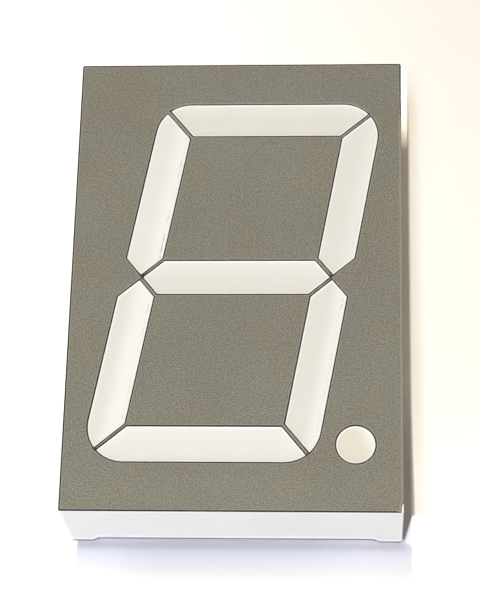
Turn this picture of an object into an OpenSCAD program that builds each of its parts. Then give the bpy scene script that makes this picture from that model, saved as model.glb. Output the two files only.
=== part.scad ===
// Single-digit seven segment display, 38 mm class, with ten pins in two rows.
// Origin: middle of the pin field, on the plane of the four feet. +Z towards the face, +Y to the digit's top.

/* [Character] */
// Height of the character, from the top of segment a to the bottom of segment d
digit_h = 38.1; // [37:0.1:39]
// Width of the upright character, before it is slanted
digit_w = 22.5; // [21.6:0.1:23]
// Width of every segment
stroke = 3.5; // [3.4:0.1:3.8]
// How far the middle of the character lies above the middle of the housing
digit_rise = 0.15; // [0:0.05:0.3]
// Slant of the character, in degrees
slant = 10; // [0:1:11]
// Web between neighbouring segments, measured across their mitred joint
joint_gap = 0.45; // [0.35:0.05:0.6]
// Outer radius of the character's four corners, which stay round under the slant
corner_r = 3.5; // [3:0.1:4]
// Diameter of the decimal point
point_d = 3.7; // [3:0.1:4]

/* [Housing] */
// Width of the housing
body_w = 32.7; // [32.5:0.1:34]
// Length of the housing
body_l = 47.7; // [47.5:0.1:50]
// Height of the housing, from its feet to the printed face
body_h = 10.4; // [10:0.1:12]
// Thickness of the four outer walls
wall = 1.2; // [1:0.1:1.4]
// Thickness of the front plate
plate_t = 1.2; // [1:0.1:1.5]
// Thickness of the grey layer on the face
film_t = 0.1; // [0.05:0.05:0.15]
// Width of the white lip that the grey layer leaves round every opening
film_gap = 0.06; // [0:0.02:0.1]
// Height of the feet below the relieved rim
foot_h = 0.85; // [0.6:0.05:1]
// Length of each foot's flat, along either wall
foot_w = 2.1; // [1.8:0.1:3]

/* [Light wells] */
// How far each light well narrows on every side, from the face to the board
well_taper = 0.8; // [0.5:0.05:0.85]
// Wall thickness of each light well
well_wall = 0.7; // [0.5:0.05:0.8]

/* [Circuit board] */
// Thickness of the board
board_t = 1.2; // [1:0.1:1.6]
// Thickness of the copper
copper_t = 0.05; // [0.04:0.01:0.07]
// Distance from the middle of a segment to each of its two light-emitting dice
die_offset = 3; // [2.5:0.1:3.2]

/* [Pins] */
// Diameter of a pin
pin_d = 0.5; // [0.45:0.05:0.6]
// Distance between neighbouring pins
pin_pitch = 2.54; // [2:0.27:2.54]
// Distance between the two rows of pins
row_pitch = 40.64; // [40.4:0.02:40.8]
// Length of a pin below the feet
pin_reach = 4; // [3:0.5:8]

/* [Hidden] */
ARC_STEPS = 8;                       // straight pieces in a corner arc
edge_r = 0.2;                        // radius of the housing's upright edges
pins_per_row = 5;

// Heights above the feet
face_z = body_h - film_t;            // front of the white housing
plate_z = face_z - plate_t;          // back of the front plate
seal_z = foot_h + 0.5;               // outer surface of the sealing resin
board_z = seal_z + 1.2;              // back of the board
board_top = board_z + board_t;       // front of the board, with the dice on it
well_z = board_top + 0.15;           // lower end of the light wells
lip_z = face_z - 0.8;                // the wells are straight above this height

// Inside of the four walls, and the board with its clearance
room_w = body_w - 2 * wall;
room_l = body_l - 2 * wall;
board_w = room_w - 0.3;
board_l = room_l - 0.3;

// The centre lines of the strokes form a figure eight on these half sizes
half = stroke / 2;
node_x = digit_w / 2 - half;
node_y = digit_h / 2 - half;
point_y = digit_rise - node_y;
point_x = 14.85 + shear(point_y);

// Pins, lands and posts
shank = pin_d;                       // the square shank inside the board
pin_hole_r = 0.4;
land_r = 0.85;
fillet_r = 0.75;                     // foot of the solder on the rear land
fillet_h = 0.6;
via_r = 0.25;
track_w = 0.4;
die_w = 0.3;
die_h = 0.25;
wire_r = 0.02;
wire_span = 1.1;                     // from the die to its bonding pad
post_r = 1.0;
peg_r = 0.6;
post_x = room_w / 2 - 1.55;
post_y = room_l / 2 - 1.55;

// Each segment: mirror signs that place the basic outline, and the middle of its centre line
SEGMENTS = [
    ["a", "cap", [1, 1], [0, node_y]],
    ["b", "side", [-1, 1], [node_x, node_y / 2]],
    ["c", "side", [-1, -1], [node_x, -node_y / 2]],
    ["d", "cap", [1, -1], [0, -node_y]],
    ["e", "side", [1, -1], [-node_x, -node_y / 2]],
    ["f", "side", [1, 1], [-node_x, node_y / 2]],
    ["g", "bar", [1, 1], [0, 0]],
];

// ---------------------------------------------------------------- outlines

// Sideways shift of the slanted character at height y
function shear(y) = y * tan(slant);

// Points of the upright character, slanted and put in their place on the housing
function placed(points) = [for (p = points) [p.x + shear(p.y + digit_rise), p.y + digit_rise]];

// The middle of segment s
function middle(s) = placed([s[3]])[0];

function reversed(list) = [for (i = [len(list) - 1:-1:0]) list[i]];

// Distance along an axis that a mitre loses to half the joint and an inset d
function mitre(d) = (joint_gap / 2 + d) * sqrt(2);

// The outlines are built upright. They lean by k afterwards, so a round corner starts out as an oval.
// Points of the upper left outer corner, inset by d, from angle a0 to angle a1
function corner_arc(k, d, a0, a1) =
    let (r = corner_r - d, skew = sqrt(1 + k * k))
    [
        for (i = [0:ARC_STEPS])
            let (a = a0 + (a1 - a0) * i / ARC_STEPS)
            [d - node_x - half + r * (skew + cos(a) - k * sin(a)), node_y + half - corner_r + r * sin(a)]
    ];

// Angle at which that corner meets the mitre, on the cap's side (way 1) or the upright's side (way -1)
function meeting(k, d, way) =
    let (skew = sqrt(1 + k * k))
    atan2(1 - k, 1) + acos((way * mitre(d) / (corner_r - d) + 1 - skew) / norm([1, 1 - k]));

// Segment g, inset by d on every side: a bar with two pointed ends
function bar_outline(d) =
    let (b = half - d, tip = node_x - mitre(d))
    [[-tip, 0], [-tip + b, -b], [tip - b, -b], [tip, 0], [tip - b, b], [-tip + b, b]];

// Segment a, inset by d: mitred ends that run out into the rounded corners
function cap_outline(k, d) =
    let (b = half - d, inner = node_x - b - mitre(d))
    concat(
        [[-inner, node_y - b], [inner, node_y - b]],
        [for (p = corner_arc(-k, d, meeting(-k, d, 1), 90)) [-p.x, p.y]],
        corner_arc(k, d, 90, meeting(k, d, 1))
    );

// Segment f, inset by d: a pointed lower end, and an upper end that turns into the corner
function side_outline(k, d) =
    let (b = half - d, e = mitre(d))
    concat(
        [[-node_x, e], [-node_x + b, b + e], [-node_x + b, node_y - b - e]],
        corner_arc(k, d, meeting(k, d, -1), 180 - atan(k)),
        [[-node_x - b, b + e]]
    );

function basic_outline(kind, k, d) =
    kind == "bar" ? bar_outline(d) : kind == "cap" ? cap_outline(k, d) : side_outline(k, d);

// The outline of segment s, inset by d, mirrored to its place and slanted
function outline(s, d) =
    let (
        sign = s[2],
        turned = sign.x * sign.y,
        flat = [for (p = basic_outline(s[1], turned * tan(slant), d)) [p.x * sign.x, p.y * sign.y]]
    )
    placed(turned < 0 ? reversed(flat) : flat);

// ---------------------------------------------------------------- shared shapes

// A solid through a stack of rings, each [height, outline], all with the same number of points
module loft(rings) {
    n = len(rings[0][1]);
    last = len(rings) - 1;
    points = [for (ring = rings) for (p = ring[1]) [p.x, p.y, ring[0]]];
    bottom = [for (i = [0:n - 1]) i];
    top = [for (i = [n - 1:-1:0]) last * n + i];
    sides = [
        for (k = [0:last - 1])
            for (i = [0:n - 1])
                let (a = k * n + i, b = k * n + (i + 1) % n)
                each [[a, a + n, b + n], [a, b + n, b]]
    ];
    polyhedron(points, concat([bottom], sides, [top]));
}

// The hollow of a light well: straight at the lip, tapered down to the board
module well(s) {
    loft([
        [well_z, outline(s, well_taper)],
        [lip_z, outline(s, 0)],
        [face_z, outline(s, 0)],
    ]);
}

// The resin in a well runs on through the slit under the well, down to the board
module well_fill(s) {
    loft([
        [board_top, outline(s, well_taper)],
        [well_z, outline(s, well_taper)],
        [lip_z, outline(s, 0)],
        [face_z, outline(s, 0)],
    ]);
}

// The outside of a light well, from its lower end into the front plate
module well_shell(s) {
    loft([
        [well_z, outline(s, well_taper - well_wall)],
        [plate_z + plate_t / 2, outline(s, -well_wall)],
    ]);
}

// A round well or its shell, grown by g, for the decimal point
module round_well(low, g) {
    translate([point_x, point_y, low])
        cylinder(h = lip_z - low, r1 = point_d / 2 - well_taper + g, r2 = point_d / 2 + g, $fn = 64);
}

// A box with rounded upright edges, centred on the axis
module block(w, l, z0, z1, r) {
    translate([0, 0, z0])
        linear_extrude(z1 - z0) {
            square([w - 2 * r, l], center = true);
            square([w, l - 2 * r], center = true);
            for (x = [-1, 1], y = [-1, 1])
                translate([x * (w / 2 - r), y * (l / 2 - r)])
                    circle(r = r, $fn = 32);
        }
}

// Where pin number n stands: 1 to 5 along the lower row, 6 to 10 back along the upper row
function pin_at(n) =
    let (k = (n - 1) % pins_per_row, lower = n <= pins_per_row)
    [(lower ? k - 2 : 2 - k) * pin_pitch, (lower ? -1 : 1) * row_pitch / 2];

module at_pins() {
    for (n = [1:2 * pins_per_row])
        translate(concat(pin_at(n), 0))
            children();
}

module at_posts() {
    for (x = [-1, 1], y = [-1, 1])
        translate([x * post_x, y * post_y, 0])
            children();
}

// ---------------------------------------------------------------- housing and face

// Gap under one wall between its two feet, with a slope at either end
module rim_relief(span, across) {
    flat = span / 2 - foot_w;
    rotate([90, 0, 0])
        linear_extrude(across, center = true)
            polygon([
                [-flat, -1], [flat, -1], [flat, 0],
                [flat - foot_h, foot_h], [foot_h - flat, foot_h], [-flat, 0],
            ]);
}

module housing() color("white") {
    difference() {
        union() {
            difference() {
                block(body_w, body_l, 0, face_z, edge_r);
                block(room_w, room_l, -1, plate_z, edge_r);
                rim_relief(body_w, body_l + 2);
                rotate([0, 0, 90])
                    rim_relief(body_l, body_w + 2);
            }
            for (s = SEGMENTS)
                well_shell(s);
            round_well(well_z, well_wall);
            // posts that hold the board, with pegs staked over behind it
            at_posts() {
                translate([0, 0, board_top])
                    cylinder(h = plate_z - board_top + plate_t / 2, r = post_r, $fn = 32);
                translate([0, 0, board_z - 0.4])
                    cylinder(h = board_t + 1, r = peg_r, $fn = 32);
                translate([0, 0, board_z - 0.4])
                    cylinder(h = 0.4, r = post_r, $fn = 32);
            }
        }
        for (s = SEGMENTS)
            well(s);
        round_well(well_z, 0);
        translate([point_x, point_y, lip_z])
            cylinder(h = plate_t, d = point_d, $fn = 64);
    }
}

// The grey layer, open over every segment and chipped at one corner
module face_film() color([0.54, 0.52, 0.47]) {
    chip = [[0, -1], [-0.19, -1], [-0.16, 0.55], [-0.1, 0.8], [0.05, 1], [1, 1], [1, -1]];
    translate([0, 0, face_z])
        linear_extrude(film_t)
            difference() {
                union() {
                    square([body_w - 2 * edge_r, body_l], center = true);
                    square([body_w, body_l - 2 * edge_r], center = true);
                    for (x = [-1, 1], y = [-1, 1])
                        translate([x * (body_w / 2 - edge_r), y * (body_l / 2 - edge_r)])
                            circle(r = edge_r, $fn = 32);
                }
                for (s = SEGMENTS)
                    polygon(outline(s, -film_gap));
                translate([point_x, point_y])
                    circle(d = point_d + 2 * film_gap, $fn = 64);
                translate([body_w / 2, -body_l / 2])
                    polygon(chip);
            }
}

// ---------------------------------------------------------------- board and copper

// Runs its children at both dice of a segment, turned along the slanted centre line, away from the middle
module at_dice(s) {
    upright = s[1] == "side";
    angle = upright ? 90 - slant : 0;
    for (way = [0, 180])
        translate(concat(middle(s), board_top))
            rotate([0, 0, angle + way])
                translate([die_offset, 0, 0])
                    children();
}

// Where the far bonding pads of segment s lie, with their feed-throughs
function pad_at(s, way) =
    let (a = s[1] == "side" ? 90 - slant : 0)
    middle(s) + way * (die_offset + wire_span) * [cos(a), sin(a)];

// The point's own die and pad, either side of its middle
point_die = [point_x, point_y + wire_span / 2];
point_pad = [point_x, point_y - wire_span / 2];

module at_pads() {
    for (s = SEGMENTS, way = [-1, 1])
        translate(concat(pad_at(s, way), 0))
            children();
    translate(concat(point_pad, 0))
        children();
}

module circuit_board() color([0.25, 0.42, 0.22]) {
    difference() {
        translate([-board_w / 2, -board_l / 2, board_z])
            cube([board_w, board_l, board_t]);
        at_pins()
            cylinder(h = body_h, r = pin_hole_r, $fn = 32);
        at_posts()
            cylinder(h = body_h, r = peg_r + 0.1, $fn = 32);
        at_pads()
            cylinder(h = body_h, r = via_r, $fn = 24);
    }
}

// A copper track of straight runs with round ends, in the plane z = 0
module track(points) {
    for (i = [0:len(points) - 2]) {
        run = points[i + 1] - points[i];
        translate(concat(points[i], 0))
            rotate([0, 0, atan2(run.y, run.x)])
                translate([0, -track_w / 2, 0])
                    cube([norm(run), track_w, copper_t]);
    }
    for (p = points)
        translate(concat(p, 0))
            cylinder(h = copper_t, d = track_w, $fn = 24);
}

// The common anode: a bar under both dice of each segment, all joined by a spine to the middle pins
module front_copper() color([0.83, 0.62, 0.36]) {
    bar_w = 0.8;
    branch_y = node_y / 2;
    difference() {
        union() {
            for (s = SEGMENTS)
                at_dice(s)
                    translate([-die_offset, -bar_w / 2, 0])
                        cube([die_offset + bar_w / 2, bar_w, copper_t]);
            translate(concat(point_die, board_top))
                cylinder(h = copper_t, r = bar_w / 2, $fn = 32);
            translate([0, 0, board_top]) {
                track([pin_at(3), pin_at(8)]);
                for (y = [-branch_y, branch_y])
                    track([[-node_x + shear(y), y], [node_x + shear(y), y]]);
                track([[node_x - shear(branch_y + 2), -branch_y - 2], [point_x, -branch_y - 2], point_die]);
                at_pins()
                    cylinder(h = copper_t, r = land_r, $fn = 32);
                at_pads()
                    cylinder(h = copper_t, r = 0.4, $fn = 24);
            }
            translate([0, 0, board_z])
                at_pads()
                    cylinder(h = board_t, r = via_r, $fn = 24);
        }
        at_pins()
            cylinder(h = body_h, r = pin_hole_r, $fn = 32);
    }
}

// Cathode tracks: one along the back of each segment, and on to its pin
module rear_copper() color([0.83, 0.62, 0.36]) {
    a = SEGMENTS[0];
    b = SEGMENTS[1];
    c = SEGMENTS[2];
    d = SEGMENTS[3];
    e = SEGMENTS[4];
    f = SEGMENTS[5];
    g = SEGMENTS[6];
    inner_lane = node_y + 1.3;
    outer_lane = board_l / 2 - 0.85;
    difference() {
        translate([0, 0, board_z - copper_t]) {
            for (s = SEGMENTS)
                track([pad_at(s, -1), pad_at(s, 1)]);
            track([[pin_at(7).x, middle(a).y], pin_at(7)]);
            track([pad_at(b, 1), [pad_at(b, 1).x, inner_lane], [pin_at(6).x, inner_lane], pin_at(6)]);
            track([pad_at(c, -1), [pad_at(c, -1).x, -inner_lane], [pin_at(4).x, -inner_lane], pin_at(4)]);
            track([[pin_at(2).x, middle(d).y], pin_at(2)]);
            track([pad_at(e, -1), [pad_at(e, -1).x, pin_at(1).y], pin_at(1)]);
            track([pad_at(f, 1), [pad_at(f, 1).x, outer_lane], [pin_at(9).x, outer_lane], pin_at(9)]);
            track([pad_at(g, -1), [pin_at(10).x, middle(g).y], pin_at(10)]);
            track([point_pad, [point_x, pin_at(5).y], pin_at(5)]);
            at_pads()
                cylinder(h = copper_t, r = 0.4, $fn = 24);
            at_pins()
                cylinder(h = copper_t, r = land_r, $fn = 32);
        }
        at_pins()
            cylinder(h = body_h, r = pin_hole_r, $fn = 32);
    }
}

// ---------------------------------------------------------------- dice, wires and resin

// One light-emitting die, standing on its copper bar
module die() {
    translate([-die_w / 2, -die_w / 2, copper_t])
        cube([die_w, die_w, die_h]);
}

// A gold wire that arches from the top of the die and drops to its pad
module wire() {
    top = copper_t + die_h;
    translate([wire_span / 2, 0, top])
        rotate([90, 0, 0])
            rotate_extrude(angle = 180, $fn = 32)
                translate([wire_span / 2, 0])
                    circle(r = wire_r, $fn = 16);
    translate([wire_span, 0, copper_t])
        cylinder(h = die_h, r = wire_r, $fn = 16);
}

module at_point_die() {
    translate(concat(point_die, board_top))
        rotate([0, 0, -90])
            children();
}

module dice(s) color([0.75, 0.66, 0.42]) {
    at_dice(s)
        die();
}

module die_point() color([0.75, 0.66, 0.42]) {
    at_point_die()
        die();
}

module bond_wires() color("gold") {
    for (s = SEGMENTS)
        at_dice(s)
            wire();
    at_point_die()
        wire();
}

// The room that a die, its wire and the copper take in the resin
module die_pocket() {
    die();
    wire();
}

module segment(s) color([0.93, 0.9, 0.87]) {
    difference() {
        well_fill(s);
        front_copper();
        at_dice(s)
            die_pocket();
    }
}

module decimal_point() color([0.93, 0.9, 0.84]) {
    difference() {
        union() {
            translate([point_x, point_y, board_top])
                cylinder(h = well_z - board_top, r = point_d / 2 - well_taper, $fn = 64);
            round_well(well_z, 0);
            translate([point_x, point_y, lip_z])
                cylinder(h = face_z - lip_z, d = point_d, $fn = 64);
        }
        front_copper();
        at_point_die()
            die_pocket();
    }
}

// ---------------------------------------------------------------- pins, solder and seal

// A tinned pin: round outside the seal, a square shank through seal and board, and a small head
module pin(n) color("silver") {
    tip = 0.25;
    translate(concat(pin_at(n), 0)) {
        translate([0, 0, tip - pin_reach])
            cylinder(h = pin_reach + seal_z - tip, d = pin_d, $fn = 32);
        translate([0, 0, -pin_reach])
            cylinder(h = tip, d1 = pin_d / 2, d2 = pin_d, $fn = 32);
        translate([-shank / 2, -shank / 2, seal_z])
            cube([shank, shank, board_top + copper_t - seal_z]);
        translate([0, 0, board_top + copper_t])
            cylinder(h = 0.3, d = 2 * pin_hole_r + 0.1, $fn = 32);
    }
}

// Solder round each shank: it fills the plated hole and climbs from the rear land in a hollow curve
module solder_joints() color([0.78, 0.79, 0.8]) {
    low = board_z - copper_t - fillet_h;
    curve = [
        for (a = [0:15:90])
            [fillet_r - (fillet_r - pin_hole_r) * cos(a), low + fillet_h * sin(a)]
    ];
    at_pins()
        difference() {
            union() {
                rotate_extrude($fn = 32)
                    polygon(concat([[0, low]], curve, [[0, low + fillet_h]]));
                translate([0, 0, low + fillet_h])
                    cylinder(h = board_t + 2 * copper_t, r = pin_hole_r, $fn = 32);
            }
            translate([-shank / 2, -shank / 2, 0])
                cube([shank, shank, body_h]);
        }
}

// Clear resin that seals the back, level between the walls
module sealing_resin() color([0.9, 0.88, 0.8]) {
    difference() {
        block(room_w, room_l, seal_z, board_z, edge_r);
        rear_copper();
        solder_joints();
        at_pins()
            translate([-shank / 2, -shank / 2, 0])
                cube([shank, shank, body_h]);
        at_posts()
            translate([0, 0, board_z - 0.4])
                cylinder(h = 1, r = post_r, $fn = 32);
    }
}

// ---------------------------------------------------------------- the pieces

housing();
face_film();
segment(SEGMENTS[0]);  // segment_a
segment(SEGMENTS[1]);  // segment_b
segment(SEGMENTS[2]);  // segment_c
segment(SEGMENTS[3]);  // segment_d
segment(SEGMENTS[4]);  // segment_e
segment(SEGMENTS[5]);  // segment_f
segment(SEGMENTS[6]);  // segment_g
decimal_point();
circuit_board();
front_copper();
rear_copper();
dice(SEGMENTS[0]);  // dice_a
dice(SEGMENTS[1]);  // dice_b
dice(SEGMENTS[2]);  // dice_c
dice(SEGMENTS[3]);  // dice_d
dice(SEGMENTS[4]);  // dice_e
dice(SEGMENTS[5]);  // dice_f
dice(SEGMENTS[6]);  // dice_g
die_point();
bond_wires();
pin(1);  // pin_1
pin(2);  // pin_2
pin(3);  // pin_3
pin(4);  // pin_4
pin(5);  // pin_5
pin(6);  // pin_6
pin(7);  // pin_7
pin(8);  // pin_8
pin(9);  // pin_9
pin(10);  // pin_10
solder_joints();
sealing_resin();
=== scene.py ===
# %% [markdown]
# # A seven segment display, 38 mm class
#
# A numeric display of this kind is one white moulding. Its face is printed grey, and eight funnels in it
# are cast full of milky resin. Behind them lies a small circuit board with the light-emitting dice, and
# clear resin seals the back, where ten tinned pins come out in two rows.
#
# The frame below holds the pieces at their real size. Everything in this lesson is worked out from it,
# so that a surface made here lands exactly where the piece is.

# %% The frame
import math

import bpy
import numpy as np
from mathutils import Matrix, Quaternion, Vector
from mathutils.geometry import delaunay_2d_cdt


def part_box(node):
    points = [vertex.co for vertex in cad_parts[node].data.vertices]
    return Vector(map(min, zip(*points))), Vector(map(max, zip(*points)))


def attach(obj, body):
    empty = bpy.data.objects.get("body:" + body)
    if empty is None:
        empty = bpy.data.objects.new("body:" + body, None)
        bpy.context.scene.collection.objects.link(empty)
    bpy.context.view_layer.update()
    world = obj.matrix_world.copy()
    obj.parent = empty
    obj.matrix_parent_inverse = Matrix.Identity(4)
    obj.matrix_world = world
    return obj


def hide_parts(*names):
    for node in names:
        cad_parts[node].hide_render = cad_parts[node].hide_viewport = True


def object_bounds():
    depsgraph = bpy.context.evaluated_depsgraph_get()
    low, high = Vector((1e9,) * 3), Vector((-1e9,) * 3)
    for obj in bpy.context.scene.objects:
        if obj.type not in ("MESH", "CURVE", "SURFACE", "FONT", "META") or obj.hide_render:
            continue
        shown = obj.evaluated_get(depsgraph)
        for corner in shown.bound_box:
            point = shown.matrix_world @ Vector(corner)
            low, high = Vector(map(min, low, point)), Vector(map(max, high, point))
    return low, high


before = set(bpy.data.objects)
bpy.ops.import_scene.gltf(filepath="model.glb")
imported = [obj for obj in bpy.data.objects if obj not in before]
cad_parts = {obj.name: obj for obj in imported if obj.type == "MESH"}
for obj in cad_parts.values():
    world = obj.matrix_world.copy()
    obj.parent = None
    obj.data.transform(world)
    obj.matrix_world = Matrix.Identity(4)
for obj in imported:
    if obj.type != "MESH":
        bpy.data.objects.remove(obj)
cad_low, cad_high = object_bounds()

MM = 0.001
print("nodes in the frame:", len(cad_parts))
print("size in mm:", [round(side / MM, 2) for side in cad_high - cad_low])

# %% [markdown]
# ## Sizes
#
# Only four numbers of the character are written here: the gap in its joints, its slant, the radius of its
# corners and the inset of the funnels. The others are read from the frame, so the lesson still fits if
# the part is made a little wider or longer.

# %% Sizes of the character, in millimetres
GAP = 0.45
SLANT = math.tan(math.radians(10))
CORNER = 3.5
TAPER = 0.8


def corners(node):
    """Lowest and highest corner of a node, in millimetres."""
    return [np.array(corner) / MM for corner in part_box(node)]


bar_low, bar_high = corners("segment_g")
cap_high = corners("segment_a")[1]
point_low, point_high = corners("decimal_point")
body_high = corners("housing")[1]
seal_low, seal_high = corners("sealing_resin")
film_low, film_high = corners("face_film")

HALF = (bar_high[1] - bar_low[1]) / 2
RISE = (bar_high[1] + bar_low[1]) / 2
NODE_X = bar_high[0] - RISE * SLANT + GAP / math.sqrt(2)
NODE_Y = cap_high[1] - HALF - RISE
FACE = film_high[2]
LEVEL = film_low[2]
LIP = LEVEL - 0.8
BASE = bar_low[2]
PIN_END = cad_low.z / MM
print(f"stroke {2 * HALF:.2f}, strokes' centre lines cross at {NODE_X:.2f}, {NODE_Y:.2f}")

# %% [markdown]
# ## The camera
#
# A small part is best seen from far away with a long lens, or its edges run together too fast. The
# eye stands 200 mm above the part's lower edge and leans forward over it. The camera is turned by a little
# more than one degree, as a camera in the hand is.

# %% The camera
EYE = Vector((12.72, -79.98, 200.02))
AIM = Vector((0.13, -0.95, 5.0))
LEAN = math.radians(1.39)
LENS = 122.27


def looking(sight):
    """The turn that makes a camera or a lamp look along a direction while its own X axis stays level."""
    side = sight.cross(Vector((0, 1, 0))).normalized()
    return Matrix((side, side.cross(sight), -sight)).transposed().to_quaternion()


sight = (AIM - EYE).normalized()
camera = bpy.data.objects.new("camera", bpy.data.cameras.new("camera"))
camera.data.lens = LENS
camera.data.sensor_width = 36
camera.data.clip_start = 0.01
camera.data.clip_end = 20
camera.location = EYE * MM
camera.rotation_mode = "QUATERNION"
camera.rotation_quaternion = looking(sight) @ Quaternion((0, 0, 1), LEAN)
bpy.context.scene.collection.objects.link(camera)
bpy.context.scene.camera = camera
print("camera above the horizon:", round(math.degrees(math.asin(-sight.z)), 1), "degrees")

# %% [markdown]
# ## Shader maths
#
# A material is a small calculation that runs at every point of a surface. Written as nodes it is hard to
# read, so two classes turn Python expressions into nodes. A Wire is one output socket, and arithmetic on
# it adds Math nodes. A Finish is one material, and its add method makes any other node.


# %% Wires
class Wire:
    """One output socket. Arithmetic on it adds a Math node, or a Vector Math node where it is a vector."""

    def __init__(self, finish, socket):
        self.finish = finish
        self.socket = socket

    def math(self, operation, *others):
        """This value and others, put through one Math node, or a Vector Math node for a vector."""
        vector = self.socket.type == "VECTOR"
        kind = "ShaderNodeVectorMath" if vector else "ShaderNodeMath"
        return self.finish.add(kind, {"operation": operation}, dict(enumerate([self, *others])))

    def turned(self, operation, other):
        """The same with the other value first, as in 1 - mask."""
        return self.finish.add("ShaderNodeMath", {"operation": operation}, {0: other, 1: self})

    def __add__(self, other):
        return self.math("ADD", other)

    def __sub__(self, other):
        return self.math("SUBTRACT", other)

    def __mul__(self, other):
        return self.math("MULTIPLY", other)

    def __truediv__(self, other):
        return self.math("DIVIDE", other)

    def __rsub__(self, other):
        return self.turned("SUBTRACT", other)

    def __rtruediv__(self, other):
        return self.turned("DIVIDE", other)

    def __abs__(self):
        return self.math("ABSOLUTE")

    __radd__ = __add__
    __rmul__ = __mul__

    def ramp(self, start, end, low=0.0, high=1.0):
        """Runs smoothly from low at start to high at end, and stays level outside."""
        sockets = {"Value": self, "From Min": start, "From Max": end, "To Min": low, "To Max": high}
        if start > end:
            sockets.update({"From Min": end, "From Max": start, "To Min": high, "To Max": low})
        return self.finish.add("ShaderNodeMapRange", {"interpolation_type": "SMOOTHSTEP"}, sockets)


# %% Finishes
def linear(red, green, blue):
    """The linear colour that shows as these display values, 0 to 255: the standard display curve, undone."""
    shown = np.array([red, green, blue]) / 255
    value = np.where(shown <= 0.04045, shown / 12.92, ((shown + 0.055) / 1.055) ** 2.4)
    return (*map(float, value), 1.0)


class Finish:
    """One material, built node by node around a Principled shader. The world is built in the same way."""

    def __init__(self, name, store=bpy.data.materials, output="ShaderNodeOutputMaterial", place="Object"):
        self.made = store.new(name)
        self.made.use_nodes = True
        self.tree = self.made.node_tree
        self.tree.nodes.clear()
        self.output = output
        self.place = self.add("ShaderNodeTexCoord", out=place)

    def add(self, kind, settings=(), sockets=(), out=0):
        """Makes a node, changes its settings, fills its sockets with values or wires, returns an output."""
        node = self.tree.nodes.new(kind)
        for name, value in dict(settings).items():
            setattr(node, name, value)
        for name, value in dict(sockets).items():
            if isinstance(value, Wire):
                self.tree.links.new(value.socket, node.inputs[name])
            else:
                node.inputs[name].default_value = value
        return None if out is None else Wire(self, node.outputs[out])

    def noise(self, period, detail=2.0, roughness=0.5, place=None):
        """Soft noise from 0 to 1, whose blotches are about one period, in millimetres, apart."""
        sockets = {"Vector": place or self.place, "Scale": 1 / (period * MM), "Detail": detail}
        sockets["Roughness"] = roughness
        return self.add("ShaderNodeTexNoise", {}, sockets)

    def axis(self, name):
        """One coordinate of the place, in millimetres for a material and from -1 to 1 for the world."""
        part = self.add("ShaderNodeSeparateXYZ", {}, {0: self.place}, out=name)
        return part / MM if self.output == "ShaderNodeOutputMaterial" else part

    def attribute(self, name):
        """A value that the mesh carries at its points."""
        return self.add("ShaderNodeAttribute", {"attribute_name": name}, out="Fac")

    def seen(self):
        """1 for what the eye sees, straight or in metal or glass, and 0 for light on its way to a surface."""
        kinds = ("Camera", "Transmission", "Glossy")
        eye, through, mirrored = (self.add("ShaderNodeLightPath", out=f"Is {kind} Ray") for kind in kinds)
        return eye.math("MAXIMUM", through).math("MAXIMUM", mirrored)

    def blend(self, factor, first, second):
        """The first colour where the factor is 0, and the second where it is 1."""
        return self.add("ShaderNodeMix", {"data_type": "RGBA"}, {0: factor, 6: first, 7: second}, out=2)

    def shade(self, colour, strength):
        """A colour made lighter or darker: every channel times the strength."""
        sockets = {0: colour, "Scale": strength}
        return self.add("ShaderNodeVectorMath", {"operation": "SCALE"}, sockets)

    def bump(self, height, depth):
        """The normal of a surface that the height, from 0 to 1, raises by up to depth, in millimetres."""
        return self.add("ShaderNodeBump", {}, {"Height": height, "Distance": depth * MM, "Strength": 1.0})

    def coat(self, **sockets):
        """Ends the material: a Principled shader with these sockets, joined to the output."""
        named = {name.replace("_", " "): value for name, value in sockets.items()}
        return self.end(self.add("ShaderNodeBsdfPrincipled", {}, named))

    def end(self, shader):
        """Joins a shader to the output."""
        self.add(self.output, {}, {"Surface": shader}, out=None)
        return self.made


# %% [markdown]
# ## Floor, world and lamps
#
# The part stands on its pins on a plain pale surface. A long narrow lamp hangs over it, a little to the
# left, like a fluorescent tube: it gives a crisp shadow on the right and soft ones in front and behind. A
# weak cool lamp fills the near wall from the front left, and a weaker warm one the two far walls. The
# world is dim, and warmer behind than in front. Their sum lights a level surface so that it shows about
# as it is coloured.
#
# A camera that is set bright shows such a floor as plain white, and only the edges of the shadow keep a
# tint. More light would bleach the part as well, so the floor has a second, brighter colour that only the
# eye and mirrored or transmitted light see. Close beside and in front of the part a painted shadow and
# painted light are tinted into it, over the lamps' own shadow. That suits a view from the front and above,
# and shows as narrow patches from elsewhere.


# %% Floor
def plain_mesh(name, points, faces, material=None, smooth=False):
    """A mesh object at the origin from points in millimetres and faces as lists of point numbers."""
    mesh = bpy.data.meshes.new(name)
    mesh.from_pydata((np.asarray(points) * MM).tolist(), [], [list(map(int, face)) for face in faces])
    mesh.polygons.foreach_set("use_smooth", np.full(len(mesh.polygons), smooth))
    mesh.update()
    if material:
        mesh.materials.append(material)
    thing = bpy.data.objects.new(name, mesh)
    bpy.context.scene.collection.objects.link(thing)
    return thing


def raw(red, green, blue):
    """A colour given by its linear channels. A channel above 1 is brighter than white."""
    return (red, green, blue, 1.0)


# The painted shadow's outer edge on the right lies at EDGE_X, and in front of y = EDGE_START it runs outwards
# by EDGE_RUN for every millimetre
EDGE_X = 17.25
EDGE_START = 5
EDGE_RUN = 0.019
# The near end of that painted shadow is a slanting line through this point, level beyond x = TIP_STOP
TIP_X, TIP_Y = 16.6, -22.7
TIP_SLOPE = 3.1
TIP_STOP = 17.45


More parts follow.
